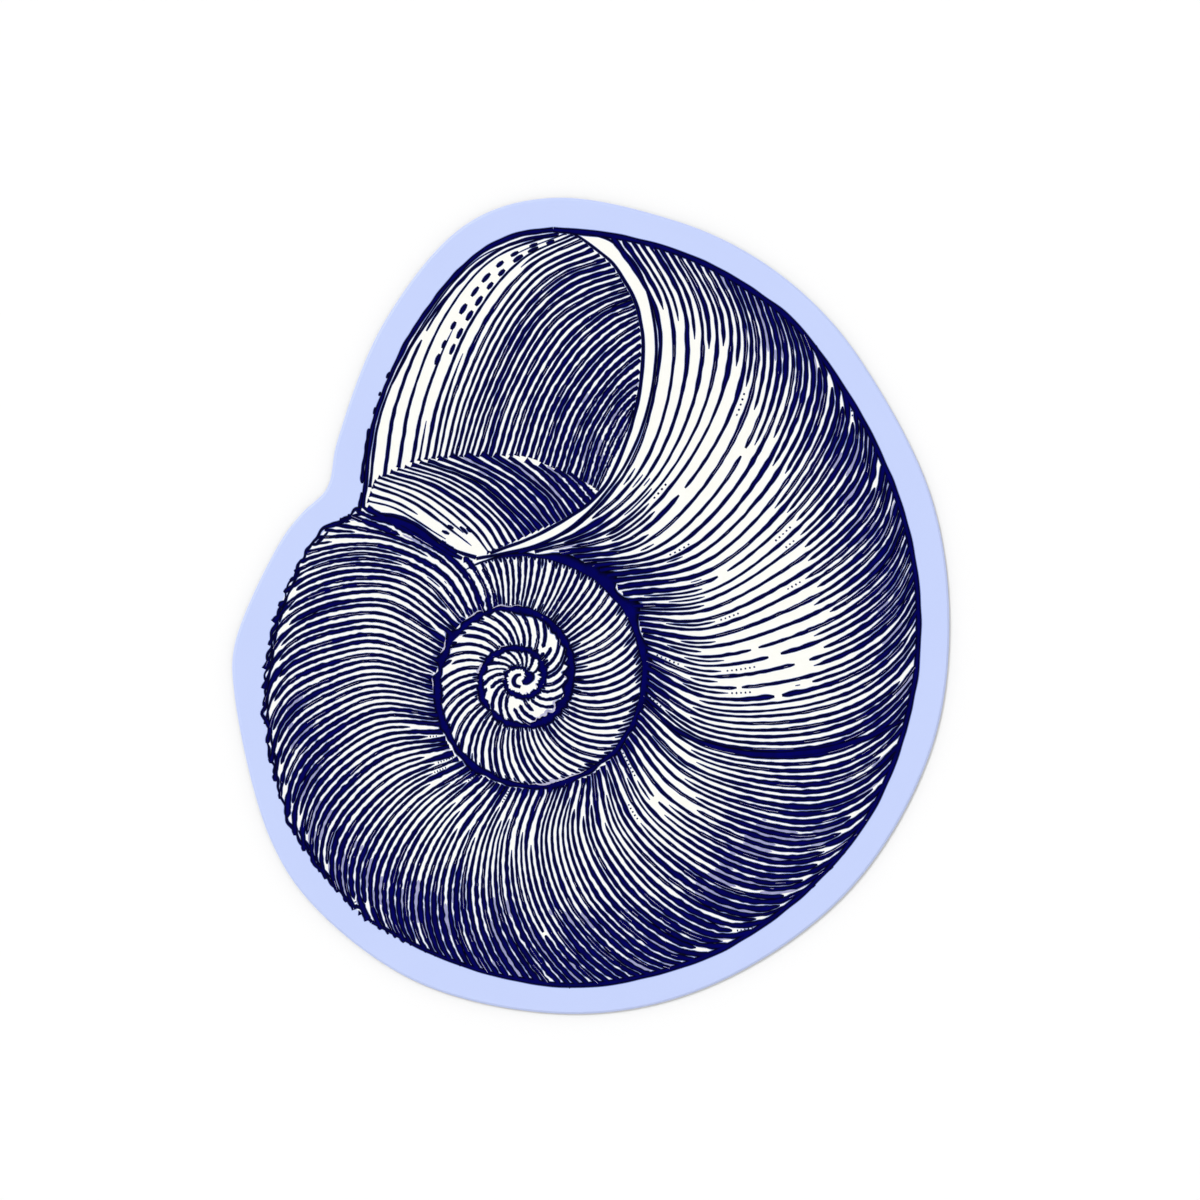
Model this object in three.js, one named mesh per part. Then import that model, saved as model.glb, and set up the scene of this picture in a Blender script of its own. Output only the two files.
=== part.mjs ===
// A die-cut vinyl sticker on its backing paper, lying flat with the printed face up.
// Millimetres, +Z out of the printed face, +Y to the top of the print, +X to its right.
// The origin is the middle of the outline's box, on the underside of the backing paper.
import * as THREE from "three";

// Driving dimensions
const STICKER_HEIGHT = 76.2;
const FILM_THICKNESS = 0.2;
const PAPER_THICKNESS = 0.15;
const CUT_STEPS = 180;

// The cut line, counterclockwise from the right-hand edge: round the body whorl's right side, over the
// lip of the shell's mouth, into the shallow notch below the lip, and back round under the shell
const CUT_LINE = [
  [33.4, -2.3], [31.7, 10.2], [25.3, 22.7], [20.6, 28.4], [14.7, 32.9], [7.7, 36.0],
  [-3.6, 38.1], [-11.6, 35.7], [-19.3, 26.6], [-23.8, 15.2],
  [-24.7, 11.0], [-27.0, 8.7], [-29.0, 6.1],
  [-33.3, -3.5], [-33.4, -7.9], [-30.0, -21.8], [-25.6, -28.4], [-15.7, -35.4], [-1.0, -38.1],
  [11.5, -35.3], [24.0, -26.6], [31.5, -14.0],
];

const PERIWINKLE = new THREE.Color("#c9d6ff");
const PAPER_WHITE = new THREE.Color("#f4f2ea");

// The smooth closed curve through the cut line's points, brought to the sticker's height about its middle
function cutOutline() {
  const points = CUT_LINE.map(([x, y]) => new THREE.Vector3(x, y, 0));
  const curve = new THREE.CatmullRomCurve3(points, true, "centripetal");
  const samples = curve.getSpacedPoints(CUT_STEPS).slice(0, -1);
  const box = new THREE.Box3().setFromPoints(samples);
  const middle = box.getCenter(new THREE.Vector3());
  const scale = STICKER_HEIGHT / box.getSize(new THREE.Vector3()).y;
  return samples.map((point) => {
    const placed = point.sub(middle).multiplyScalar(scale);
    return new THREE.Vector2(placed.x, placed.y);
  });
}

// One flat sheet of the given thickness, cut to the outline, with its underside at the given height
function cutSheet(name, thickness, underside, material) {
  const shape = new THREE.Shape(cutOutline());
  const geometry = new THREE.ExtrudeGeometry(shape, { depth: thickness, bevelEnabled: false });
  const sheet = new THREE.Mesh(geometry, material);
  sheet.name = name;
  sheet.position.z = underside;
  return sheet;
}

// The release paper that keeps the adhesive covered until the sticker is used
function backingPaper() {
  const material = new THREE.MeshStandardMaterial({ color: PAPER_WHITE, roughness: 0.75, metalness: 0 });
  return cutSheet("backing_paper", PAPER_THICKNESS, 0, material);
}

// The printed and laminated vinyl film, adhesive side down on the paper
function vinylFace() {
  const material = new THREE.MeshStandardMaterial({ color: PERIWINKLE, roughness: 0.45, metalness: 0 });
  return cutSheet("vinyl_face", FILM_THICKNESS, PAPER_THICKNESS, material);
}

const sticker = new THREE.Group();
sticker.name = "die_cut_sticker";
sticker.add(backingPaper(), vinylFace());

export default sticker;
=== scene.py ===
import math

import bmesh
import bpy
import numpy as np
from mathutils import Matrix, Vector


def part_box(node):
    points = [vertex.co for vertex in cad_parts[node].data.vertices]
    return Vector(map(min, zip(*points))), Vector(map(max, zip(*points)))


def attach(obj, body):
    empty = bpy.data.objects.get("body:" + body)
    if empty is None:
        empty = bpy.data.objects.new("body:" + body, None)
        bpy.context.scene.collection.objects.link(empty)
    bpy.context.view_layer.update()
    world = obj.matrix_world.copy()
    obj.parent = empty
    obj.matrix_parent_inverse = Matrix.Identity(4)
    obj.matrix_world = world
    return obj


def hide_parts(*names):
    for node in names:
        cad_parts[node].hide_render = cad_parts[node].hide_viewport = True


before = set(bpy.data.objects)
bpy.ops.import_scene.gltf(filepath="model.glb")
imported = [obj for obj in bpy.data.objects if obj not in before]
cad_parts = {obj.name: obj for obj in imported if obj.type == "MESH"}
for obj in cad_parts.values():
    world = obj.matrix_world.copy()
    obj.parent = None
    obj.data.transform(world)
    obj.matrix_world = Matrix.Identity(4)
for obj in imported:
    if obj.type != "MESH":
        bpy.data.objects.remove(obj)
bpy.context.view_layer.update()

# Lengths below are millimetres on the sticker, x to the right and y to the top of the print
MM = 0.001

# The view: straight down, with the photograph's frame round the sticker
VIEW_WIDTH = 112.0
VIEW_CENTRE = (0.86, 0.54)
VIEW_NEAREST = 10.0
LENS = 100.0
SENSOR = 36.0

# The light: a soft sun from the upper left, and a sky given by its level at rising heights
KEY_FROM = (-0.62, 0.62, 0.85)
KEY_STRENGTH = 1.5
KEY_SPREAD = 20.0
SKY_BRIGHTEST = 2.4
SKY_LEVELS = ((0.0, SKY_BRIGHTEST), (0.45, 0.8), (0.8, 0.68), (0.98, 0.33))

# The floor's half side, and how far it lies below the paper
FLOOR_HALF = 1200.0
FLOOR_DROP = 0.02

# The film's top edge, pressed down by the blade: inset from the cut line, and drop below the top
EDGE_PROFILE = ((0.0, 0.15), (0.015, 0.135), (0.18, 0.012), (0.23, 0.0))
# Bands of it, from the cut side in, that show the pressed rim, coloured darker as painted shade
SHADED_RIM_BANDS = 2
# How far the paper's edges are broken
PAPER_BURR = 0.02
# Points on the cut line for each packed one, and the distance that counts as one place
OUTLINE_STEPS = 4
SAME_PLACE = 0.01

# Heights of the print's layers above the film, and of the lines' feet
GROUND_HEIGHT = 0.004
WEAR_HEIGHT = 0.008
INK_HEIGHT = 0.022
STREAK_HEIGHT = 0.028
LINE_FOOT = 0.002
# How deep the ground reaches into the film
GROUND_DEPTH = 0.02
# Points round the ground's two outlines
GROUND_STEPS = (420, 110)

# Across a printed line, from left to right: share of the half width, spread beyond that, share of the
# height, and depth of colour, which is below nought at the pale foot
FRINGE = 0.05
BEAD = (
    (1.0, FRINGE, 0.0, -1.0),
    (0.86, 0.0, 0.75, 0.05),
    (0.0, 0.0, 1.0, 1.0),
    (-0.86, 0.0, 0.75, 0.05),
    (-1.0, -FRINGE, 0.0, -1.0),
)
FLAT_BEAD = ((1.0, 0.0, 0.0, 0.0), (0.0, 0.0, 1.0, 1.0), (-1.0, 0.0, 0.0, 0.0))
# Width that shows the full depth of colour, and the least share of it
BROAD_LINE = 0.7
LEAST_DEPTH = 0.35
# A line's ends are this share of its height
END_HEIGHT = 0.5

# Side of the square that the flat map covers, and the scale of hidden faces in it
MAP_SIZE = 84.0
HIDDEN_SCALE = 0.02

# Linear colours, most with the deeper one that they are mottled with
PERIWINKLE = (0.537, 0.618, 0.915)
PERIWINKLE_DEEP = (0.528, 0.608, 0.91)
CREAM = (0.92, 0.918, 0.878)
CREAM_DEEP = (0.903, 0.90, 0.84)
INK_RIM = (0.0006, 0.0006, 0.007)
INK_CORE = (0.0008, 0.0008, 0.11)
INK_FRINGE = (0.33, 0.415, 0.88)
LAVENDER = (0.40, 0.39, 0.58)
LAVENDER_DEEP = (0.28, 0.27, 0.45)
STREAK = (0.58, 0.57, 0.72)
STREAK_DEEP = (0.30, 0.30, 0.46)
# Periwinkle darkened for the pressed rim: painted shade on the bevel
SHADED_RIM = (0.465, 0.535, 0.80)
SHADED_RIM_DEEP = (0.445, 0.515, 0.78)
# Dark grey cut sides: partly the edge's own colour, partly painted shade that deepens the shadow round the
# sticker
CUT_SIDE_SHADE = (0.30, 0.31, 0.35)
CUT_SIDE_SHADE_DEEP = (0.20, 0.21, 0.25)
PAPER = (0.80, 0.78, 0.71)
PAPER_DEEP = (0.70, 0.67, 0.58)
FLOOR_WHITE = (0.92, 0.92, 0.92)

# Ranges that hold most of a noise's values, and the roughness range of the print
NOISE_RANGE = (0.3, 0.7)
NOISE_MIDDLE = (0.35, 0.65)
PRINT_GLOSS = (0.38, 0.48)
# Mottled materials: two colours, size of the patches, roughness, specular level and roughness range
MOTTLED = {
    "periwinkle_laminate": (PERIWINKLE, PERIWINKLE_DEEP, 9.0, 0.4, 0.35, (0.36, 0.46)),
    # The pressed rim's darker periwinkle is painted shade on the bevel
    "rim_painted_shade": (SHADED_RIM, SHADED_RIM_DEEP, 2.0, 0.45, 0.3, None),
    # Dark grey of the cut sides, partly painted shade round the sticker's foot
    "cut_side_and_shade": (CUT_SIDE_SHADE, CUT_SIDE_SHADE_DEEP, 0.8, 0.65, 0.2, None),
    "cream_print": (CREAM, CREAM_DEEP, 0.7, 0.42, 0.2, PRINT_GLOSS),
    "ink_streak": (STREAK, STREAK_DEEP, 0.8, 0.42, 0.15, PRINT_GLOSS),
    "lavender_wash": (LAVENDER, LAVENDER_DEEP, 0.5, 0.42, 0.15, PRINT_GLOSS),
}

SEED = 11
draw = np.random.default_rng(SEED)

# Key growth lines across the body whorl, from the suture to the outline
BODY_GUIDES = [
    [(-10.3, 4.5), (-3.0, 6.4), (2.9, 12.3), (5.6, 19.9), (5.9, 27.2), (1.8, 34.1)],
    [(-7.3, 4.9), (-1.0, 7.1), (5.0, 12.3), (8.2, 20.6), (8.1, 28.0), (4.8, 34.0)],
    [(-4.3, 5.0), (2.7, 6.7), (8.5, 12.4), (12.4, 19.9), (13.1, 26.6), (10.6, 32.0)],
    [(-1.5, 4.5), (4.6, 5.5), (10.2, 10.4), (14.7, 18.3), (15.7, 24.8), (14.0, 30.1)],
    [(2.0, 2.2), (10.4, 3.8), (16.7, 9.2), (21.1, 16.2), (22.1, 20.6), (21.2, 23.9)],
    [(4.2, -0.8), (10.6, -0.7), (18.3, 3.1), (23.1, 6.8), (26.1, 10.6), (26.8, 14.1)],
    [(5.0, -4.1), (10.7, -6.0), (18.6, -4.8), (24.7, -2.3), (28.3, 0.7), (30.2, 4.3)],
    [(4.8, -8.1), (10.2, -12.0), (17.7, -13.1), (24.0, -12.0), (28.0, -9.5), (30.2, -6.9)],
    [(3.5, -12.1), (7.4, -17.2), (13.5, -20.6), (19.1, -22.0), (23.5, -21.0), (26.7, -18.5)],
    [(0.9, -15.1), (2.5, -20.6), (6.6, -25.5), (11.3, -28.5), (15.0, -29.3), (18.4, -28.2)],
    [(-1.5, -16.3), (-2.6, -21.4), (-0.8, -27.0), (2.7, -31.0), (5.5, -33.0), (8.0, -33.9)],
    [(-6.1, -17.0), (-7.8, -21.9), (-7.7, -27.0), (-6.4, -30.8), (-4.7, -33.4), (-3.2, -35.2)],
    [(-9.2, -16.3), (-13.1, -20.7), (-15.1, -24.9), (-15.5, -28.4), (-14.9, -31.2), (-13.9, -33.1)],
    [(-12.6, -14.0), (-17.8, -16.1), (-21.3, -19.3), (-23.2, -22.5), (-23.5, -25.4), (-22.9, -27.4)],
    [(-14.1, -10.6), (-19.7, -10.3), (-23.9, -12.5), (-26.5, -15.0), (-27.8, -17.9), (-28.0, -20.4)],
    [(-14.4, -6.2), (-20.1, -4.3), (-24.3, -5.1), (-27.9, -6.7), (-29.6, -8.8), (-30.3, -11.2)],
    [(-12.8, -2.5), (-18.3, 1.3), (-22.5, 1.5), (-26.1, 0.5), (-28.5, -1.1), (-29.8, -3.1)],
    [(-11.2, -1.0), (-13.4, 2.5), (-16.4, 4.5), (-19.9, 5.6), (-23.2, 5.6), (-26.5, 4.9)],
    [(-10.2, -0.7), (-11.5, 2.4), (-13.6, 4.6), (-16.4, 6.3), (-18.9, 7.6), (-21.4, 8.9)],
    [(-9.4, -0.5), (-10.0, 1.7), (-10.9, 3.3), (-11.8, 4.4), (-12.9, 5.1), (-14.1, 5.9)],
    [(-8.6, -0.3), (-8.8, 1.4), (-9.3, 2.7), (-9.8, 3.5), (-10.3, 4.0), (-10.8, 4.4)],
]
# Share of ink from the suture to the outline, at numbered guides of the body whorl
BODY_SHADES = [
    (0, (0.85, 0.75, 0.36, 0.2, 0.3, 0.6)),
    (1, (0.85, 0.68, 0.27, 0.15, 0.32, 0.7)),
    (2, (0.88, 0.58, 0.18, 0.22, 0.52, 0.78)),
    (3, (0.9, 0.38, 0.16, 0.28, 0.64, 0.85)),
    (4, (0.9, 0.3, 0.26, 0.64, 0.82, 0.86)),
    (5, (0.9, 0.34, 0.24, 0.56, 0.8, 0.85)),
    (6, (0.9, 0.34, 0.18, 0.5, 0.74, 0.74)),
    (7, (0.85, 0.42, 0.5, 0.54, 0.66, 0.66)),
    (8, (0.7, 0.26, 0.6, 0.74, 0.76, 0.8)),
    (9, (0.68, 0.36, 0.54, 0.82, 0.86, 0.86)),
    (10, (0.65, 0.42, 0.54, 0.84, 0.9, 0.88)),
    (11, (0.62, 0.42, 0.62, 0.86, 0.92, 0.86)),
    (12, (0.6, 0.4, 0.58, 0.8, 0.84, 0.74)),
    (13, (0.6, 0.4, 0.54, 0.7, 0.72, 0.62)),
    (14, (0.6, 0.42, 0.6, 0.66, 0.62, 0.52)),
    (17, (0.6, 0.42, 0.56, 0.6, 0.56, 0.46)),
    (18, (0.65, 0.5, 0.68, 0.78, 0.78, 0.72)),
    (20, (0.65, 0.5, 0.45, 0.5, 0.6, 0.8)),
]
# How far the dark foot of the lines reaches from the suture, at numbered guides of the body whorl
BODY_FEET = [(0, 1.2), (1, 3.0), (3, 4.6), (5, 4.2), (7, 3.2), (10, 2.0), (15, 2.2), (20, 1.2)]
# Key lines inside the mouth, from the inner wall's rim up and over to the lip
MOUTH_GUIDES = [
    [(-20.9, 10.8), (-19.9, 17.8), (-16.2, 25.7), (-10.5, 32.5), (-3.5, 34.9)],
    [(-18.5, 12.6), (-17.3, 19.2), (-14.1, 26.9), (-9.6, 32.3), (-3.2, 34.9)],
    [(-16.9, 13.3), (-15.7, 19.2), (-12.5, 26.9), (-8.2, 32.2), (-2.4, 34.8)],
    [(-14.8, 13.7), (-13.6, 19.2), (-10.3, 26.9), (-6.0, 32.1), (-1.3, 34.5)],
    [(-13.1, 13.8), (-11.7, 19.2), (-8.2, 26.8), (-4.5, 31.1), (0.2, 33.3)],
    [(-11.6, 13.9), (-9.9, 19.2), (-6.1, 26.7), (-2.1, 30.4), (1.9, 31.8)],
    [(-9.7, 13.9), (-8.0, 19.2), (-3.8, 26.5), (-0.2, 29.0), (3.0, 30.2)],
    [(-6.1, 13.9), (-4.3, 19.2), (-1.3, 23.9), (1.7, 26.6), (4.2, 27.8)],
    [(-3.2, 12.7), (-1.5, 17.5), (1.1, 21.4), (3.1, 23.4), (4.7, 24.6)],
    [(-0.5, 11.5), (0.9, 15.7), (2.5, 18.5), (3.6, 19.7), (4.4, 20.3)],
    [(0.8, 10.6), (1.9, 12.9), (2.9, 15.0), (3.6, 16.6), (4.0, 17.9)],
]
# Share of ink from the rim to the lip, at numbered guides of the mouth
MOUTH_SHADES = [
    (0, (0.16, 0.16, 0.2, 0.3, 0.5)),
    (1, (0.2, 0.18, 0.18, 0.2, 0.4)),
    (2, (0.24, 0.18, 0.0, 0.0, 0.3)),
    (3, (0.36, 0.3, 0.24, 0.28, 0.5)),
    (5, (0.46, 0.54, 0.58, 0.62, 0.66)),
    (8, (0.58, 0.66, 0.66, 0.6, 0.64)),
    (10, (0.85, 0.8, 0.8, 0.75, 0.72)),
]
# Key lines on the inner wall, from its rim down to its foot
WALL_GUIDES = [
    [(-21.0, 9.4), (-18.6, 8.9), (-14.2, 6.4), (-11.5, 5.0)],
    [(-20.5, 10.8), (-17.3, 9.6), (-12.8, 6.5), (-10.4, 4.9)],
    [(-20.0, 11.9), (-15.5, 10.2), (-11.2, 6.8), (-9.6, 4.9)],
    [(-18.5, 12.6), (-14.3, 11.2), (-9.9, 8.0), (-8.2, 5.5)],
    [(-14.8, 13.7), (-9.8, 11.6), (-6.4, 8.5), (-5.0, 7.0)],
    [(-10.0, 14.2), (-6.6, 12.0), (-4.3, 10.0), (-2.9, 7.9)],
    [(-5.7, 13.5), (-4.0, 12.2), (-2.5, 10.6), (-1.1, 8.9)],
    [(-1.5, 12.2), (-0.6, 11.5), (0.0, 10.9), (0.6, 10.2)],
]
# Share of ink from the rim to the foot, at numbered guides of the inner wall
WALL_SHADES = [
    (0, (0.3, 0.25, 0.06, 0.0)),
    (1, (0.32, 0.28, 0.08, 0.0)),
    (2, (0.36, 0.32, 0.16, 0.04)),
    (3, (0.46, 0.46, 0.44, 0.4)),
    (4, (0.58, 0.64, 0.76, 0.85)),
    (7, (0.9, 0.92, 0.95, 0.97)),
]

# The shell's outline clockwise from the top of the mouth, and the lines and marks drawn inside it
OUTLINE = [(-3.5, 35.1), (0.9, 34.7), (6.5, 33.5), (9.9, 32.2), (13.1, 30.6), (18.6, 26.7), (23.7, 20.0),
           (27.4, 13.1), (29.9, 5.4), (30.6, -2.3), (29.9, -8.8), (27.5, -16.5), (23.8, -22.6),
           (18.5, -27.9), (12.1, -32.1), (5.5, -34.4), (-1.0, -35.4), (-8.5, -34.5), (-15.0, -32.3),
           (-20.4, -29.5), (-24.8, -25.2), (-27.9, -20.5), (-29.8, -14.2), (-30.4, -8.8), (-29.7, -2.7),
           (-27.7, 2.9), (-24.5, 7.3), (-21.4, 9.0)]
LEFT_LIP = [(-21.3, 9.1), (-21.1, 10.8), (-20.1, 17.6), (-16.5, 25.7), (-10.8, 32.6), (-6.9, 34.6),
            (-3.5, 35.1)]
LIP_INNER = [(-2.9, 35.0), (-1.6, 34.7), (0.2, 33.5), (2.0, 32.0), (3.1, 30.4), (4.0, 28.8), (4.6, 26.7),
             (4.9, 24.2), (4.4, 19.2), (3.1, 14.8), (0.8, 10.5), (-4.4, 6.9), (-9.4, 4.9)]
LIP_OUTER = [(-1.4, 35.0), (1.8, 34.1), (3.7, 32.4), (4.9, 30.4), (5.8, 27.2), (6.1, 23.4), (5.0, 17.3),
             (2.5, 12.0), (-1.5, 7.6), (-5.1, 5.6), (-10.7, 4.4)]
LIP_FOLD = [(-18.6, 20.6), (-16.0, 25.4), (-10.4, 32.0), (-6.7, 34.0), (-3.0, 34.7)]
WALL_FOOT = [(-21.2, 9.2), (-20.5, 8.7), (-18.2, 8.4), (-16.3, 7.6), (-14.8, 6.5), (-13.3, 5.5),
             (-12.0, 4.9), (-10.7, 4.5)]
WALL_MARKS = [[(-13.9, 7.0), (-13.2, 6.7)], [(-13.4, 7.5), (-12.8, 7.2)],
              [(-12.2, 7.4), (-11.5, 6.7)], [(-11.6, 7.3), (-11.1, 6.9)]]
APEX_HOOK = [(-6.5, -6.4), (-6.95, -6.55), (-7.2, -6.9), (-7.05, -7.35), (-6.55, -7.6)]
APEX_PIT = [(-6.15, -6.2), (-5.7, -6.55), (-5.9, -7.0), (-6.4, -7.2)]
REST_MARK = [(4.8, -8.6), (8.0, -11.6), (13.7, -13.7), (20.1, -13.7), (25.5, -12.4), (29.3, -10.6)]

# The middle of the spire
APEX = np.array([-6.42, -6.56])
# Suture radius at each quarter turn inwards, from the top of the last whorl
SUTURE_QUARTERS = [11.25, 11.35, 10.2, 7.75, 6.3, 4.6, 4.65, 3.8, 2.6, 2.1, 1.92, 1.55, 0.75, 0.45]

# The body whorl's guides run past the outline by this share of their last stretch, to be clipped to it
BODY_LONGER = 0.2
# Steps along each line of the body whorl, the mouth, the inner wall and the spire
BODY_STEPS = 130
MOUTH_STEPS = 100
WALL_STEPS = 50
SPIRE_STEPS = 40
SPIRE_ROWS = 60

# How each area is engraved; hatch() says what the names mean
BODY_HATCH = dict(pitch=0.68, feet=BODY_FEET, end=2.2, tails=0.14)
MOUTH_HATCH = dict(pitch=0.62, start=0.1, fade=(0.22, 0.3), crowd=0.45, uneven=0.04, most=0.44)
WALL_HATCH = dict(pitch=0.66, start=0.1, fade=(0.1, 0.2), crowd=0.45)
SPIRE_HATCH = dict(start=0.2, fade=(0.5, 0.8), crowd=0.45, uneven=0.15, most=0.34,
                   feet=((0, 0.9),), end=1.1)

# The spire's stretches: first and last turn, line pitch and share of lines that stop short
SPIRE_PARTS = [
    (0.69, 1.5, 0.33, 0.0),
    (1.5, 2.0, 0.36, 0.06),
    (2.0, 2.55, 0.34, 0.06),
    (2.55, 3.0, 0.32, 0.0),
]
# Share of ink across a spire whorl, from its inner suture to its outer one
SPIRE_SHARES = [(0, 0.88), (0.1, 0.64), (0.3, 0.46), (0.65, 0.44), (0.85, 0.54), (1, 0.88)]
# Degrees that the spire's lines sweep back, by part of a turn, and more near the apex
SPIRE_SWEEP = [(0.0, 16), (0.08, 22), (0.25, 15), (0.5, 5), (0.75, -3), (0.85, -1), (0.93, 6), (1.0, 16)]
APEX_SWEEP = 20
APEX_SWEEP_TURNS = (1.3, 1.7)
SWEEP_POWER = 1.4
BOW_DEGREES = 2.0

# Dark band along the suture: turn, then its reach outwards and inwards
BAND = [
    (-0.33, 0.0, 0.05), (-0.27, 0.3, 0.1), (-0.2, 0.8, 0.15), (-0.13, 1.2, 0.2), (-0.06, 0.9, 0.25),
    (0.0, 0.6, 0.25), (0.1, 0.35, 0.2), (0.25, 0.35, 0.25), (0.4, 0.4, 0.3), (0.5, 0.5, 0.3),
    (0.6, 0.5, 0.25), (0.75, 0.2, 0.5), (0.9, 0.3, 0.6), (1.0, 0.35, 0.75), (1.1, 0.6, 0.55),
    (1.25, 0.35, 0.3), (1.5, 0.35, 0.3), (1.75, 0.25, 0.4), (2.0, 0.35, 0.45), (2.25, 0.25, 0.25),
    (2.5, 0.2, 0.2), (3.0, 0.16, 0.14),
]
BAND_STEPS = 620
BAND_ROUGH = 0.3
# The suture's radius is known from this turn on
FIRST_TURN = -0.25
# Pale wear along the band: its lit side, size, turns and the noise level above which it shows
LIT_SIDE = (-0.7, 0.7)
LIT_FACING = 0.3
BAND_WEAR = 0.15
BAND_WEAR_ROUGH = 0.5
BAND_WEAR_LEAST = 0.08
BAND_WEAR_TURNS = (0.0, 2.6)
BAND_WEAR_LEVEL = 0.1

# The outline's point from which the print's left edge is ragged, and the lip's points along it
RAGGED_FROM = 19
RAGGED_LIP = 4
# How far the dark shadow lies below the inner wall's foot
FOOT_SHADOW = 0.5
# Drawn lines: points, widths along them and steps, then roughness of the edges and sway where not plain
CONTOURS = [
    (OUTLINE[:RAGGED_FROM + 1], (0.6, 0.6, 0.55, 0.55, 0.55, 0.55, 0.55, 0.55, 0.5, 0.35), 340),
    (OUTLINE[RAGGED_FROM:], (0.3, 0.26, 0.28, 0.3), 280, 0.35, 0.12),
    (LIP_INNER, (0.2, 0.3, 0.35, 0.35, 0.35, 0.3, 0.25), 160),
    (LIP_OUTER, (0.2, 0.25, 0.25, 0.25, 0.25, 0.3, 0.3), 160),
    (LEFT_LIP, (0.4, 0.45, 0.5, 0.5, 0.5), 160),
    (LIP_FOLD, (0.1, 0.25, 0.3, 0.3, 0.4), 110, 0.2),
    (WALL_FOOT, (0.3, 0.3, 0.3), 80),
    ([(x, y - FOOT_SHADOW) for x, y in WALL_FOOT[1:-1]], (0.5, 0.9, 1.0, 0.9, 0.6, 0.3), 80),
    *((mark, (0.15, 0.35, 0.15), 8) for mark in WALL_MARKS),
    (APEX_HOOK, (0.2, 0.35, 0.45, 0.45, 0.25), 24),
    (APEX_PIT, (0.3, 0.9, 0.9, 0.4), 24),
]
REST_CONTOUR = (REST_MARK, (0.3, 0.5, 0.7, 0.8, 0.7, 0.35), 120)
# Ragged edges: points, distance to the left of them, half width of the dashes and steps
RAGGED_EDGES = [
    (OUTLINE[RAGGED_FROM:], -0.3, 0.11, 260),
    (LEFT_LIP[:RAGGED_LIP], 0.32, 0.12, 130),
]
RAGGED_SWAY = 0.05
RAGGED_ROUGH = 0.3
RAGGED_LEVEL = -0.1

# Dashes inside the lip: guide number, and first and last place along it
DASH_ROWS = [(2.05, 0.34, 0.86), (2.5, 0.38, 0.9)]
DASH_COUNT = 9
DASH_STEPS = (4, 6)
DASH_HALF_WIDTHS = (0.17, 0.25)

# A line's width follows its share of ink to this power, since thin dark lines look paler than their share
INK_CURVE = 0.8
# Steps on a curve between two points, and trial rows from which evenly spaced ones are picked
CURVE_STEPS = 24
TRIAL_ROWS = 1500
SPACING_ERROR = 0.05
# Unevenness of an engraved line: roughness of its edges, sway of its course and swelling of its width
LINE_ROUGH = 0.12
LINE_SWAY = 0.025
SWAY_STRETCH = 18
SWELL = 0.1
SWELL_STRETCH = 8
# A line fills at most this share of its room, and has at most this many pitches of room
FULLEST = 0.94
MOST_ROOM = 1.9
# Noise level above which a line has a nick, and how much that rises between two shares of ink
NICK_LEVEL = 2.2
NICK_RISE = 1.5
NICK_SHARES = (0.3, 0.6)
# Shares of ink and gaps over which a spare line fades
FADE_SHARES = (0.02, 0.05)
FADE_GAP = 0.03
CROWD_SPREAD = 0.12
# Where lines stop short, as shares of their length, and the stretch over which they fade there
STOP_SHARES = (0.1, 0.5)
STOP_FADE = (0.02, 0.1)
# Lines spill over the outline by this much, and worn patches keep as far inside it
SPILL = 0.2
# Share of ink at the very end of a line's dark foot
FOOT_SHARE = 1.05
# The least printed width and steps, the steps over which an open end narrows, and the form of its tip
LEAST_WIDTH = 0.05
LEAST_STEPS = 3
TAPER = 3
SHORT_TAPER = 2
TIP_START = 0.6
TIP_POWER = 0.6

# Dotted tails, in steps along the line: first dot, spacing and half length; then dots and half widths
TAIL_LEVEL = 0.4
TAIL_FIRST = 2.5
TAIL_SPACING = 1.8
DOT_HALF_LENGTH = 0.35
DOT_COUNTS = (3, 8)
DOT_HALF_WIDTHS = (0.05, 0.1)

# Streaks: noise level above which they show, by area, least line width, share of it and half widths
BODY_STREAKS = 0.65
FINE_STREAKS = 0.9
STREAK_LINE = 0.28
STREAK_LEAST_STEPS = 12
STREAK_SHARE = 0.10
STREAK_HALF_WIDTHS = (0.025, 0.045)
STREAK_LEAST = 0.03
STREAK_ROUGH = 0.3
STREAK_OFFSET = 0.08

# Worn patches: noise level above which they show, share of ink from which on, and share of the gap
BODY_WEAR = (0.4, 0.7)
MOUTH_WEAR = (0.8, 0.72)
FINE_WEAR = (0.5, 0.7)
WEAR_GAP = 0.8
WEAR_SHARE = 0.35


def smooth_curve(points, count):
    """An evenly stepped curve through points whose rows may carry more than x and y."""
    p = np.asarray(points, float)
    ends = np.vstack([2 * p[0] - p[1], p, 2 * p[-1] - p[-2]])
    gaps = np.sqrt(np.hypot(*np.diff(ends[:, :2], axis=0).T))
    t = np.linspace(0, 1, CURVE_STEPS, endpoint=False)[:, None]
    rows = []
    for i in range(len(p) - 1):
        p0, p1, p2, p3 = ends[i:i + 4]
        d0, d1, d2 = gaps[i:i + 3]
        m1 = ((p1 - p0) / d0 - (p2 - p0) / (d0 + d1) + (p2 - p1) / d1) * d1
        m2 = ((p2 - p1) / d1 - (p3 - p1) / (d1 + d2) + (p3 - p2) / d2) * d1
        rows.append((2 * t**3 - 3 * t**2 + 1) * p1 + (t**3 - 2 * t**2 + t) * m1
                    + (3 * t**2 - 2 * t**3) * p2 + (t**3 - t**2) * m2)
    dense = np.vstack(rows + [p[-1:]])
    run = np.r_[0, np.cumsum(np.hypot(*np.diff(dense[:, :2], axis=0).T))]
    at = np.linspace(0, run[-1], count)
    return np.stack([np.interp(at, run, column) for column in dense.T], axis=1)


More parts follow.
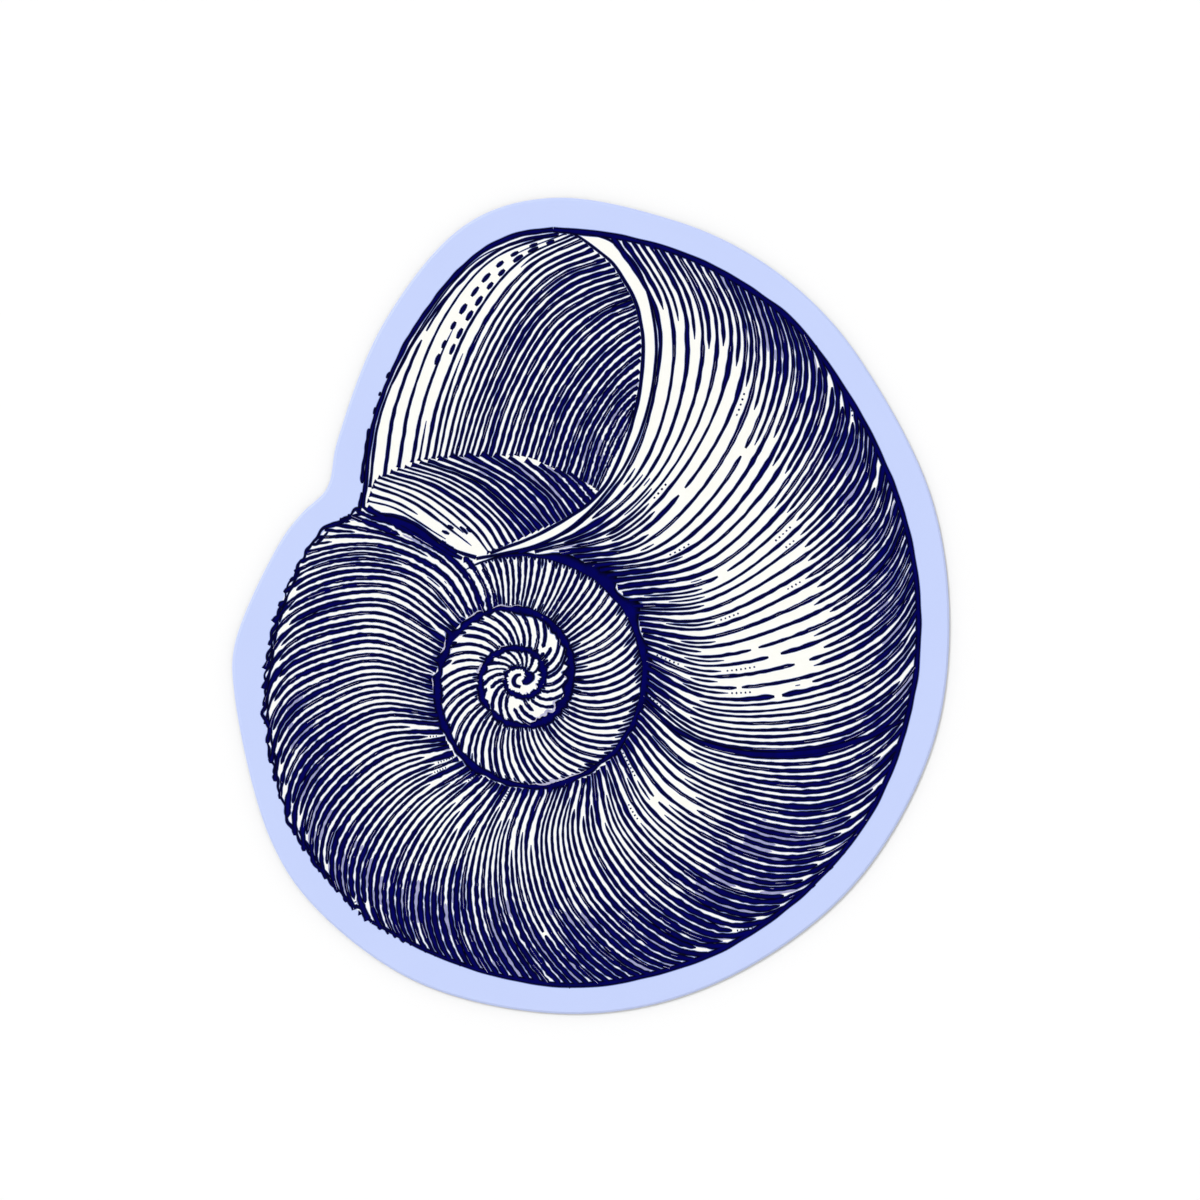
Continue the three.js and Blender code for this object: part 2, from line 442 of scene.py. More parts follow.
def between(sheet, at):
    """Smooth values between the rows of a sheet, at fractional row numbers."""
    before = 2 * sheet[:1] - sheet[1:2]
    after = 2 * sheet[-1:] - sheet[-2:-1]
    padded = np.concatenate([before, sheet, after])
    at = np.clip(at, 0, len(sheet) - 1 - 1e-9)
    row = np.floor(at).astype(int)
    t = (at - row).reshape((-1,) + (1,) * (sheet.ndim - 1))
    p0, p1, p2, p3 = (padded[row + k] for k in range(4))
    cubic = 3 * (p1 - p2) + p3 - p0
    square = 2 * p0 - 5 * p1 + 4 * p2 - p3
    return p1 + 0.5 * t * (p2 - p0 + t * (square + t * cubic))


def guide_sheet(guides, shades, count, longer=0.0):
    """Guide lines as rows of x, y and share of ink, drawn longer at the end if asked."""
    guides = np.array(guides)
    guides[:, -1] += longer * (guides[:, -1] - guides[:, -2])
    numbers = [number for number, _ in shades]
    shares = np.array([row for _, row in shades])
    ink = np.array([np.interp(np.arange(len(guides)), numbers, column) for column in shares.T]).T
    return np.array([smooth_curve(np.c_[points, row], count) for points, row in zip(guides, ink)])


def across(lines):
    """Unit normals, to the left of each line."""
    tangent = np.gradient(lines[..., :2], axis=-2)
    tangent /= np.maximum(np.linalg.norm(tangent, axis=-1, keepdims=True), 1e-9)
    return np.stack([-tangent[..., 1], tangent[..., 0]], axis=-1)


def steps_aside(lines):
    """Distance from each line to the next, square to it."""
    return np.abs((np.diff(lines[..., :2], axis=0) * across(lines)[:-1]).sum(-1))


def evenly_spaced(sheet, pitch, start):
    """Row numbers whose lines lie at most a pitch apart, from the start share of their length on."""
    at = np.linspace(0, len(sheet) - 1, TRIAL_ROWS)
    step = steps_aside(between(sheet[..., :2], at))
    first = int(start * sheet.shape[1])
    run = np.r_[0, np.cumsum(step[:, first:-1].max(axis=1))]
    count = int(run[-1] / pitch)
    marks = (np.arange(count) + 0.5) * run[-1] / count + draw.normal(0, SPACING_ERROR * pitch, count)
    return np.interp(marks, run, at)


def wander(shape, stretch):
    """Smooth noise of about unit size along the last axis."""
    raw = draw.normal(size=(int(np.prod(shape[:-1])), shape[-1] + 6 * stretch))
    bell = np.exp(-0.5 * (np.arange(-3 * stretch, 3 * stretch + 1) / stretch) ** 2)
    bell /= np.sqrt((bell ** 2).sum())
    return np.array([np.convolve(row, bell, mode="valid") for row in raw]).reshape(shape)


def gap_between(lines):
    """Mean distance from each line to its two neighbours."""
    step = steps_aside(lines)
    return 0.5 * (np.concatenate([step[:1], step]) + np.concatenate([step, step[-1:]]))


def ramp(x, low, high):
    """A smooth rise from nought to one between two values."""
    t = np.clip((x - low) / (high - low), 0, 1)
    return t * t * (3 - 2 * t)


def cut_runs(line, left, right, least=LEAST_WIDTH, taper=TAPER, free=False):
    """The stretches of one line that are wide enough to print, narrowed where they end in the open."""
    side = across(line)
    edges = np.flatnonzero(np.diff(np.r_[0, (left + right) > least, 0]))
    runs = []
    for a, b in zip(edges[::2], edges[1::2]):
        if b - a < LEAST_STEPS:
            continue
        tip = (np.arange(b - a) + TIP_START) / taper
        narrow = np.ones(b - a)
        if a > 0 or free:
            narrow = np.minimum(narrow, tip)
        if b < len(line) or free:
            narrow = np.minimum(narrow, tip[::-1])
        narrow = narrow ** TIP_POWER
        runs.append((line[a:b, :2], left[a:b] * narrow, right[a:b] * narrow, side[a:b]))
    return runs


def beside(rows, distance):
    """Mean of the two rows that lie a number of places before and after each row."""
    before = np.concatenate([rows[:1]] * distance + [rows[:-distance]])
    after = np.concatenate([rows[distance:]] + [rows[-1:]] * distance)
    return 0.5 * (before + after)


def presence(ink, gap, pitch, fade, crowd):
    """How far each line is there: every other one fades in light or crowded places, then every fourth."""
    count = len(ink)
    order = np.arange(count)[:, None]
    cut = draw.uniform(*fade, count)[:, None]
    tight = pitch * draw.uniform(crowd - CROWD_SPREAD, crowd + CROWD_SPREAD, count)[:, None]
    lit = ramp(ink, cut - FADE_SHARES[0], cut + FADE_SHARES[1])
    spare = lit * ramp(gap, tight - FADE_GAP, tight + FADE_GAP)
    second = ramp(2 * gap, tight - FADE_GAP, tight + FADE_GAP)
    return np.where(order % 2 == 1, spare, np.where(order % 4 == 2, second, 1.0))


def chance_stops(count, chance):
    """Share of its length by which each line stops short, for some by chance, or a place past its end."""
    return np.where(draw.random(count) < chance, draw.uniform(*STOP_SHARES, count), -1.0)[:, None]


def stopping_short(count, steps, chance):
    """How far each line is there when some start late and some end early."""
    along = np.linspace(0, 1, steps)[None, :]
    late = chance_stops(count, chance)
    early = chance_stops(count, chance)
    soft, full = STOP_FADE
    return ramp(along, late - soft, late + full) * ramp(1 - along, early - soft, early + full)


def inside_outline(lines, spill):
    """One where a line lies inside the shell's outline or spills less than asked over it, else nought."""
    ring = np.vstack([smooth_curve(*part) for part in zip((OUTLINE, LEFT_LIP), GROUND_STEPS)])
    ring = ring[np.argsort(np.arctan2(ring[:, 1], ring[:, 0]))]
    ring_angle = np.arctan2(ring[:, 1], ring[:, 0])
    angle = np.arctan2(lines[..., 1], lines[..., 0])
    far = np.interp(angle, ring_angle, np.hypot(*ring.T), period=2 * np.pi)
    return np.where(np.hypot(lines[..., 0], lines[..., 1]) < far + spill, 1.0, 0.0)


def dark_ends(lines, first, last):
    """Share of ink that dark ends add, over the given reaches in millimetres."""
    step = np.linalg.norm(np.diff(lines[..., :2], axis=1), axis=-1)
    run = np.pad(np.cumsum(step, axis=1), ((0, 0), (1, 0)))
    left = run[:, -1:] - run
    return FOOT_SHARE - np.minimum(run / first[:, None], left / last)


def dotted_tails(lines, here, chance):
    """Rows of small dots that carry on where a fading line runs out in the light."""
    out = []
    for line, there in zip(lines[1::2], here[1::2] > TAIL_LEVEL):
        for spot in np.flatnonzero(there[1:] != there[:-1]):
            if draw.random() > chance:
                continue
            onward = -1 if there[spot + 1] else 1
            steps = TAIL_FIRST + TAIL_SPACING * np.arange(draw.integers(*DOT_COUNTS))
            for at in spot + onward * steps:
                if not 2 < at < len(line) - 3:
                    break
                dot = between(line, np.array([at - DOT_HALF_LENGTH, at, at + DOT_HALF_LENGTH]))
                half = np.full(3, draw.uniform(*DOT_HALF_WIDTHS))
                out += cut_runs(dot, half, half, LEAST_WIDTH, SHORT_TAPER, True)
    return out


def line_widths(share, gap, here, pitch, uneven, most):
    """Width along each line, from its share of ink and the room that its fading neighbours leave."""
    ink = share ** INK_CURVE
    room = gap * (1 + (1 - beside(here, 1)) * (1 + 2 * (1 - beside(here, 2))))
    filled = np.clip(ink * (1 + SWELL * wander(ink.shape, SWELL_STRETCH)), 0, FULLEST)
    width = np.minimum(room, pitch * MOST_ROOM) * filled * here
    width = np.minimum(width * (1 + uneven * draw.normal(size=(len(width), 1))), most)
    nick = wander(ink.shape, 2) > NICK_LEVEL + NICK_RISE * ramp(ink, *NICK_SHARES)
    return np.where(nick, 0, width), ink


def rough_halves(width, rough, stretch):
    """A line's half widths to the left and right, each with its own rough edge."""
    return [0.5 * width * (1 + rough * wander(width.shape, stretch)) for _ in ("left", "right")]


def hatch(sheet, pitch, start=0.3, fade=(0.24, 0.36), crowd=0.6, short=0.0, uneven=0.08, most=0.6,
          feet=((0, 0.01),), end=0.01, tails=0.0):
    """Engraved lines along a sheet of guides, each as wide as its share of ink asks.

    pitch: widest spacing of the lines, from the start share of their length on
    fade, crowd: share of ink, and of the pitch, under which every other line fades away
    short, tails: chance that a line stops short, and that dots follow a line that fades
    uneven, most: how much widths differ from line to line, and the greatest width
    feet, end: reach of the lines' dark feet at numbered guides, and of their dark far ends
    """
    at = evenly_spaced(sheet, pitch, start)
    lines = between(sheet, at)
    lines[..., 2] = np.maximum(lines[..., 2], dark_ends(lines, np.interp(at, *np.array(feet).T), end))
    lines[..., :2] += across(lines) * (LINE_SWAY * wander(lines.shape[:2], SWAY_STRETCH))[..., None]
    gap = gap_between(lines)
    share = np.clip(lines[..., 2], 0, 1)
    here = presence(share, gap, pitch, fade, crowd) * stopping_short(*share.shape, short)
    widths, ink = line_widths(share, gap, here, pitch, uneven, most)
    strokes = []
    for line, width in zip(lines, widths * inside_outline(lines, SPILL)):
        strokes += cut_runs(line, *rough_halves(width, LINE_ROUGH, 1))
    strokes += dotted_tails(lines[..., :2], here, tails)
    return strokes, lines, ink, gap * (2 - beside(here, 1))


def streaks(strokes, level):
    """Short light streaks left along the middle of the broader lines, where noise is above a level."""
    out = []
    for line, left, right, side in strokes:
        shape = (len(line),)
        if len(line) < STREAK_LEAST_STEPS:
            continue
        width = left + right
        there = (wander(shape, 5) > level) & (width > STREAK_LINE)
        half = np.where(there, np.clip(STREAK_SHARE * width, *STREAK_HALF_WIDTHS), 0)
        half = half * (1 + STREAK_ROUGH * wander(shape, 1))
        off = (STREAK_OFFSET * wander(shape, 6) * width)[:, None]
        out += cut_runs(line + side * off, half, half, STREAK_LEAST, SHORT_TAPER)
    return out


def worn_patches(lines, ink, gap, level, darkest):
    """Grey-lavender wear in the narrow gaps of the darkest hatching, where noise is above a level."""
    middle = 0.5 * (lines[1:] + lines[:-1])
    dark = 0.5 * (ink[1:] + ink[:-1])
    room = np.minimum(0.5 * (gap[1:] + gap[:-1]), WEAR_GAP)
    halves = np.where((wander(dark.shape, 6) > level) & (dark > darkest), WEAR_SHARE * room, 0)
    out = []
    for line, half in zip(middle, halves * inside_outline(middle, -SPILL)):
        out += cut_runs(line, half, half)
    return out


def suture_radius(turn):
    """The suture's distance from the apex, growing evenly in ratio between the quarter turns."""
    quarters = np.log(np.array(SUTURE_QUARTERS))[:, None]
    return np.exp(between(quarters, np.atleast_1d(turn) * 4 + 1)[:, 0])


def polar(turn, radius):
    """Points round the apex, turning clockwise from its right."""
    angle = -2 * np.pi * turn
    return APEX + np.stack([radius * np.cos(angle), radius * np.sin(angle)], axis=-1)


def spire_sheet(first, last):
    """Guides across the spire's whorls from inner to outer suture, between two turns."""
    v = np.linspace(0, 1, SPIRE_STEPS)
    ink = np.interp(v, *np.array(SPIRE_SHARES).T)
    sheet = []
    for turn in np.linspace(first, last, SPIRE_ROWS):
        degrees = np.interp(turn % 1, *np.array(SPIRE_SWEEP).T) + APEX_SWEEP * ramp(turn, *APEX_SWEEP_TURNS)
        at = turn - degrees / 360 * v ** SWEEP_POWER + BOW_DEGREES / 360 * 4 * v * (1 - v)
        inner = suture_radius(at)
        radius = inner + v * (suture_radius(at - 1) - inner)
        sheet.append(np.c_[polar(at, radius), ink])
    return np.array(sheet)


def ragged_edge(points, offset, half, count):
    """Broken dashes beside an outline, where the print's edge is rough."""
    shape = (count,)
    line = smooth_curve(points, count)
    line = line + across(line) * (offset + RAGGED_SWAY * wander(shape, 3))[:, None]
    there = wander(shape, 4) > RAGGED_LEVEL
    half = np.where(there, half * (1 + RAGGED_ROUGH * wander(shape, 2)), 0)
    return cut_runs(line, half, half, LEAST_WIDTH, SHORT_TAPER)


def drawn_line(points, widths, count, rough=0.1, sway=0.0):
    """One line through points, with its widths spread evenly along it."""
    line = smooth_curve(points, count)
    line = line + across(line) * (sway * wander((count,), 2))[:, None]
    width = np.interp(np.linspace(0, len(widths) - 1, count), np.arange(len(widths)), widths)
    return cut_runs(line, *rough_halves(width, rough, 2))


def mouth_dashes(sheet):
    """Pairs of short dashes down the bright band inside the lip."""
    out = []
    for row, first, last in DASH_ROWS:
        line = between(sheet, np.array([row]))[0]
        for at in np.linspace(first, last, DASH_COUNT):
            start = int(at * MOUTH_STEPS)
            steps = draw.integers(*DASH_STEPS)
            half = np.full(steps, draw.uniform(*DASH_HALF_WIDTHS))
            out += cut_runs(line[start:start + steps], half, half, LEAST_WIDTH, SHORT_TAPER, True)
    return out


def suture_band():
    """The dark spiral between the whorls, and the pale worn patches along its lit side."""
    at, out_reach, in_reach = np.array(BAND).T
    turns = np.linspace(at[0], at[-1], BAND_STEPS)
    spiral = polar(turns, suture_radius(np.maximum(turns, FIRST_TURN)))
    outward = np.interp(turns, at, out_reach) * (1 + BAND_ROUGH * wander(turns.shape, 1))
    inward = np.interp(turns, at, in_reach) * (1 + BAND_ROUGH * wander(turns.shape, 1))
    side = across(spiral)
    facing = side @ np.array(LIT_SIDE)
    edge = np.where(facing > 0, outward, -inward)
    half = BAND_WEAR * np.clip((np.abs(facing) - LIT_FACING) * 2, 0, 1)
    half = half * (1 + BAND_WEAR_ROUGH * wander(turns.shape, 2))
    first, last = BAND_WEAR_TURNS
    there = (turns > first) & (turns < last) & (wander(turns.shape, 2) > BAND_WEAR_LEVEL)
    half = np.where(there, half, 0)
    worn = cut_runs(spiral + side * edge[:, None], half, half, BAND_WEAR_LEAST)
    return [(spiral, outward, inward, side)], worn


def add_body(marks):
    sheet = guide_sheet(BODY_GUIDES, BODY_SHADES, BODY_STEPS, BODY_LONGER)
    strokes, lines, ink, gap = hatch(sheet, **BODY_HATCH)
    marks["body"] += strokes
    marks["streaks"] += streaks(strokes, BODY_STREAKS)
    marks["wear"] += worn_patches(lines, ink, gap, *BODY_WEAR)


def add_mouth(marks):
    sheet = guide_sheet(MOUTH_GUIDES, MOUTH_SHADES, MOUTH_STEPS)
    strokes, lines, ink, gap = hatch(sheet, **MOUTH_HATCH)
    marks["mouth"] += strokes + mouth_dashes(sheet)
    marks["streaks"] += streaks(strokes, FINE_STREAKS)
    marks["wear"] += worn_patches(lines, ink, gap, *MOUTH_WEAR)


def add_wall(marks):
    sheet = guide_sheet(WALL_GUIDES, WALL_SHADES, WALL_STEPS)
    strokes, lines, ink, gap = hatch(sheet, **WALL_HATCH)
    marks["mouth"] += strokes
    marks["wear"] += worn_patches(lines, ink, gap, *FINE_WEAR)


def add_spire(marks):
    for first, last, pitch, short in SPIRE_PARTS:
        strokes, lines, ink, gap = hatch(spire_sheet(first, last), pitch, short=short, **SPIRE_HATCH)
        marks["spire"] += strokes
        marks["streaks"] += streaks(strokes, FINE_STREAKS)
        marks["wear"] += worn_patches(lines, ink, gap, *FINE_WEAR)
    band, worn = suture_band()
    marks["spire"] += band
    marks["streaks"] += worn


def add_edges(marks):
    for contour in CONTOURS:
        marks["edges"] += drawn_line(*contour)
    for edge in RAGGED_EDGES:
        marks["edges"] += ragged_edge(*edge)
    marks["edges"] += drawn_line(*REST_CONTOUR)


def shell_marks():
    """All strokes of the print by kind, each as a line, its half widths and its normals."""
    marks = {kind: [] for kind in ("body", "mouth", "spire", "edges", "streaks", "wear")}
    for add in (add_body, add_mouth, add_wall, add_spire, add_edges):
        add(marks)
    return marks


def plain_material(name, colour, roughness, specular):
    """A material with its constant values set, its node tree and its shader."""
    material = bpy.data.materials.new(name)
    material.use_nodes = True
    material.diffuse_color = (*colour, 1)
    shader = material.node_tree.nodes["Principled BSDF"]
    shader.inputs["Base Color"].default_value = (*colour, 1)
    shader.inputs["Roughness"].default_value = roughness
    shader.inputs["Specular IOR Level"].default_value = specular
    return material, material.node_tree, shader


def noise(tree, size, detail=3.0, stretch=(1, 1, 1)):
    """Noise whose features are about the given size in millimetres."""
    place = tree.nodes.new("ShaderNodeTexCoord")
    scale = tree.nodes.new("ShaderNodeMapping")
    scale.inputs["Scale"].default_value = stretch
    texture = tree.nodes.new("ShaderNodeTexNoise")
    texture.inputs["Scale"].default_value = 1 / (size * MM)
    texture.inputs["Detail"].default_value = detail
    tree.links.new(place.outputs["Object"], scale.inputs["Vector"])
    tree.links.new(scale.outputs["Vector"], texture.inputs["Vector"])
    return texture.outputs["Fac"]


def span(tree, value, from_range, to_range=(0.0, 1.0)):
    """A value brought from one range to another."""
    node = tree.nodes.new("ShaderNodeMapRange")
    node.inputs["From Min"].default_value, node.inputs["From Max"].default_value = from_range
    node.inputs["To Min"].default_value, node.inputs["To Max"].default_value = to_range
    tree.links.new(value, node.inputs["Value"])
    return node.outputs["Result"]


def blend_colours(tree, factor, first, second):
    """Two colours, each a constant or another node's output, blended by a factor."""
    node = tree.nodes.new("ShaderNodeMix")
    node.data_type = "RGBA"
    tree.links.new(factor, node.inputs["Factor"])
    for socket, colour in (("A_Color", first), ("B_Color", second)):
        place = next(s for s in node.inputs if s.identifier == socket)
        if isinstance(colour, tuple):
            place.default_value = (*colour, 1)
        else:
            tree.links.new(colour, place)
    return next(s for s in node.outputs if s.identifier == "Result_Color")


def add_bump(tree, shader, height, strength, depth):
    """Fine relief from a height, so many millimetres deep."""
    node = tree.nodes.new("ShaderNodeBump")
    node.inputs["Strength"].default_value = strength
    node.inputs["Distance"].default_value = depth * MM
    tree.links.new(height, node.inputs["Height"])
    tree.links.new(node.outputs["Normal"], shader.inputs["Normal"])


def satin_finish(tree, shader, gloss_range):
    """The laminate's fine grain: a slow change of gloss and a faint orange peel."""
    gloss = span(tree, noise(tree, size=6.0), NOISE_MIDDLE, gloss_range)
    tree.links.new(gloss, shader.inputs["Roughness"])
    add_bump(tree, shader, noise(tree, size=0.22, detail=2.0), strength=0.12, depth=0.004)


def mottled_material(name):
    """A colour in patches with a deeper one, with a satin finish where it has a roughness range."""
    first, second, size, roughness, specular, gloss_range = MOTTLED[name]
    material, tree, shader = plain_material(name, first, roughness, specular)
    patch = span(tree, noise(tree, size), NOISE_RANGE)
    tree.links.new(blend_colours(tree, patch, first, second), shader.inputs["Base Color"])
    if gloss_range:
        satin_finish(tree, shader, gloss_range)
    return material


def ink_material():
    """Navy ink, nearly black along the rims of a line and pale blue at its foot."""
    material, tree, shader = plain_material("navy_ink", INK_CORE, roughness=0.42, specular=0.02)
    core = tree.nodes.new("ShaderNodeAttribute")
    core.attribute_name = "core"
    depth = span(tree, core.outputs["Fac"], (0.15, 0.6))
    uneven = span(tree, noise(tree, size=1.2), NOISE_RANGE, (0.55, 1.0))
    blue = tree.nodes.new("ShaderNodeMath")
    blue.operation = "MULTIPLY"
    tree.links.new(depth, blue.inputs[0])
    tree.links.new(uneven, blue.inputs[1])
    body = blend_colours(tree, blue.outputs[0], INK_RIM, INK_CORE)
    foot = span(tree, core.outputs["Fac"], (-1.0, 0.0), (1.0, 0.0))
    tree.links.new(blend_colours(tree, foot, body, INK_FRINGE), shader.inputs["Base Color"])
    satin_finish(tree, shader, PRINT_GLOSS)
    return material


def paper_material():
    """Release paper with fibres that run along one way."""
    material, tree, shader = plain_material("release_paper", PAPER, roughness=0.8, specular=0.2)
    fibres = noise(tree, size=0.35, detail=4.0, stretch=(1.0, 0.25, 1.0))
    patch = span(tree, fibres, (0.35, 0.7))
    tree.links.new(blend_colours(tree, patch, PAPER, PAPER_DEEP), shader.inputs["Base Color"])
    tree.links.new(span(tree, fibres, NOISE_RANGE, (0.7, 0.9)), shader.inputs["Roughness"])
    add_bump(tree, shader, fibres, strength=0.3, depth=0.01)
    return material


def upper_rim(form, top):
    """Edges of a packed sheet that lie at its top height and border its cut side."""
    steep = 0.5
    level = [e for e in form.edges if all(abs(v.co.z - top) < SAME_PLACE * MM for v in e.verts)]
    return [e for e in level if any(abs(f.normal.z) < steep for f in e.link_faces)]


def cut_line(node):
    """The sticker's cut line in millimetres, counterclockwise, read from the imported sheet's upper rim."""
    form = bmesh.new()
    form.from_mesh(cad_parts[node].data)
    bmesh.ops.remove_doubles(form, verts=form.verts, dist=SAME_PLACE * MM)
    rim = upper_rim(form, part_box(node)[1].z)
    neighbours = {}
    for edge in rim:
        for vertex in edge.verts:
            neighbours.setdefault(vertex.index, []).append(edge.other_vert(vertex))
    start = rim[0].verts[0]
    ring = [start, neighbours[start.index][0]]
    while True:
        ahead = next(v for v in neighbours[ring[-1].index] if v is not ring[-2])
        if ahead is start:
            break
        ring.append(ahead)
    points = np.array([(v.co.x, v.co.y) for v in ring]) / MM
    form.free()
    turn = np.roll(points, -1, axis=0)
    area = (points[:, 0] * turn[:, 1] - points[:, 1] * turn[:, 0]).sum()
    return points if area > 0 else points[::-1]


def finer_ring(points, steps):
    """A closed ring with more points on the same smooth curve."""
    wrapped = np.vstack([points[-2:], points, points[:3]])
    at = 2 + np.arange(len(points) * steps) / steps
    return between(wrapped, at)


def ring_normals(points):
    """Unit normals that point into a counterclockwise ring."""
    tangent = np.roll(points, -1, axis=0) - np.roll(points, 1, axis=0)
    tangent /= np.linalg.norm(tangent, axis=1, keepdims=True)
    return np.stack([-tangent[:, 1], tangent[:, 0]], axis=1)


def add_piece(name, mesh, materials, stands_for=None):
    """Links a mesh as a piece of the sticker."""
    for material in materials:
        mesh.materials.append(material)
    piece = bpy.data.objects.new(name, mesh)
    bpy.context.scene.collection.objects.link(piece)
    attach(piece, "root")
    if stands_for:
        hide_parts(stands_for)
    return piece


def flat_map(mesh, hidden):
    """A map square on to the print, with the hidden faces kept in one corner of it."""
    corner_of = np.zeros(len(mesh.loops), int)
    mesh.loops.foreach_get("vertex_index", corner_of)
    places = np.zeros(len(mesh.vertices) * 3)
    mesh.vertices.foreach_get("co", places)
    flat = places.reshape(-1, 3)[corner_of, :2] / MM / MAP_SIZE + 0.5
    counts = np.zeros(len(mesh.polygons), int)
    mesh.polygons.foreach_get("loop_total", counts)
    under = np.repeat(np.asarray(hidden, bool), counts)
    flat[under] = flat[under] * HIDDEN_SCALE
    layer = mesh.uv_layers.new(name="OFBake")
    layer.data.foreach_set("uv", flat.ravel())


def stacked_sheet(name, rings):
    """A closed sheet from matching rings of points, lowest first, each with its height."""
    count = len(rings[0][0])
    vertices = np.vstack([np.c_[ring, np.full(count, height)] for ring, height in rings]) * MM
    faces = [list(range(count))[::-1]]
    hidden = [True]
    for level in range(len(rings) - 1):
        low = level * count
        for i in range(count):
            j = (i + 1) % count
            faces.append([low + i, low + j, low + count + j, low + count + i])
            hidden.append(level == 0)
    faces.append(list(range((len(rings) - 1) * count, len(rings) * count)))
    hidden.append(False)
    mesh = bpy.data.meshes.new(name)
    mesh.from_pydata(vertices.tolist(), [], faces)
    mesh.polygons.foreach_set("use_smooth", [len(face) == 4 for face in faces])
    flat_map(mesh, hidden)
    return mesh


def paint_bands(mesh, count, bands, slot):
    """Gives the faces between some rings of a stacked sheet another of its materials."""
    for number in range(1 + bands.start * count, 1 + bands.stop * count):
        mesh.polygons[number].material_index = slot


def film_piece(ring, edge):
    """The printed film, with a dark grey cut side that is partly painted shade, and a pressed rim coloured
    darker as painted shade.
    """
    low, high = (corner.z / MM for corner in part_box("vinyl_face"))
    inward = ring_normals(ring)
    rings = [(ring, low)]
    rings += [(ring + inward * inset, high - drop) for inset, drop in EDGE_PROFILE]
    mesh = stacked_sheet("printed_film", rings)
    materials = [mottled_material("periwinkle_laminate"), edge, mottled_material("rim_painted_shade")]
    add_piece("printed_film", mesh, materials, "vinyl_face")
    paint_bands(mesh, len(ring), range(0, 1), 1)
    # The pressed rim's bands take the darker colour, painted shade on the bevel
    paint_bands(mesh, len(ring), range(1, 1 + SHADED_RIM_BANDS), 2)


def paper_piece(ring, edge):
    """The release paper, with broken edges and a dark grey cut side that is partly its own edge and partly
    painted shade.
    """
    low, high = (corner.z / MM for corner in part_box("backing_paper"))
    inset = ring + ring_normals(ring) * PAPER_BURR
    rings = [(inset, low), (ring, low + PAPER_BURR), (ring, high - PAPER_BURR), (inset, high)]
    mesh = stacked_sheet("release_sheet", rings)
    add_piece("release_sheet", mesh, [paper_material(), edge], "backing_paper")
    paint_bands(mesh, len(ring), range(0, len(rings) - 1), 1)


def ground_piece(top):
    """The cream ground under the lines, within the shell's outline."""
    parts = [smooth_curve(*part)[:-1] for part in zip((OUTLINE, LEFT_LIP), GROUND_STEPS)]
    ring = np.vstack(parts)[::-1]
    mesh = stacked_sheet("print_ground", [(ring, top - GROUND_DEPTH), (ring, top + GROUND_HEIGHT)])
    add_piece("print_ground", mesh, [mottled_material("cream_print")])


def bead_points(stroke, base, height, profile):
    """Points of one raised line, a row across it at each step."""
    line, left, right, side = stroke
    columns = []
    for place, spread, rise, _ in profile:
        aside = place * (left if place > 0 else right) + spread
        level = np.full(len(line), base + height * rise)
        level[[0, -1]] = base + END_HEIGHT * height * rise
        columns.append(np.c_[line + side * aside[:, None], level])
    return np.stack(columns, axis=1)


def bead_faces(steps, width, first):
    """Faces of one closed bead: its top strips, its underside and its two ends, and which are hidden."""
    grid = first + np.arange(steps * width).reshape(steps, width)
    corners = [grid[:-1, :-1], grid[:-1, 1:], grid[1:, 1:], grid[1:, :-1]]
    top = np.stack(corners, axis=-1).reshape(-1, 4)
    under = np.stack([grid[:-1, 0], grid[1:, 0], grid[1:, -1], grid[:-1, -1]], axis=-1)
    ends = [grid[0, ::-1].tolist(), grid[-1].tolist()]
    faces = top.tolist() + under.tolist() + ends
    hidden = [False] * len(top) + [True] * (len(under) + 2)
    return faces, hidden


def colour_depths(stroke, profile):
    """Depth of colour at a line's points: broad lines are deeper, and the pale foot stays as it is."""
    depth = np.array([row[3] for row in profile])
    breadth = np.clip((stroke[1] + stroke[2]) / BROAD_LINE, LEAST_DEPTH, 1)
    return np.where(depth < 0, depth, breadth[:, None] * depth).ravel()


def bead_piece(name, strokes, top, height, material, profile=BEAD):
    """One piece of joined printed lines."""
    points, faces, hidden, depths = [], [], [], []
    first = 0
    for stroke in strokes:
        rows = bead_points(stroke, top + LINE_FOOT, height - LINE_FOOT, profile)
        made, under = bead_faces(len(rows), len(profile), first)
        points.append(rows.reshape(-1, 3))
        faces += made
        hidden += under
        depths.append(colour_depths(stroke, profile))
        first += len(points[-1])
    mesh = bpy.data.meshes.new(name)
    mesh.from_pydata((np.vstack(points) * MM).tolist(), [], faces)
    core = mesh.attributes.new("core", "FLOAT", "POINT")
    core.data.foreach_set("value", np.concatenate(depths))
    flat_map(mesh, hidden)
    add_piece(name, mesh, [material])


def print_pieces():
    """The shell print: its ground, its lines, and the streaks and worn patches among them."""
    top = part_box("vinyl_face")[1].z / MM
    ground_piece(top)
    marks = shell_marks()
    ink = ink_material()
    half = len(marks["body"]) // 2
    lines = {
        "whorl_lines_right": marks["body"][:half],
        "whorl_lines_left": marks["body"][half:],
        "mouth_lines": marks["mouth"],
        "spire_lines": marks["spire"],
        "shell_outline": marks["edges"],
    }
    for name, strokes in lines.items():
        bead_piece(name, strokes, top, INK_HEIGHT, ink)
    pale = mottled_material("ink_streak")
    bead_piece("ink_streaks", marks["streaks"], top, STREAK_HEIGHT, pale, FLAT_BEAD)
    wash = mottled_material("lavender_wash")
    bead_piece("shade_patches", marks["wear"], top, WEAR_HEIGHT, wash, FLAT_BEAD)


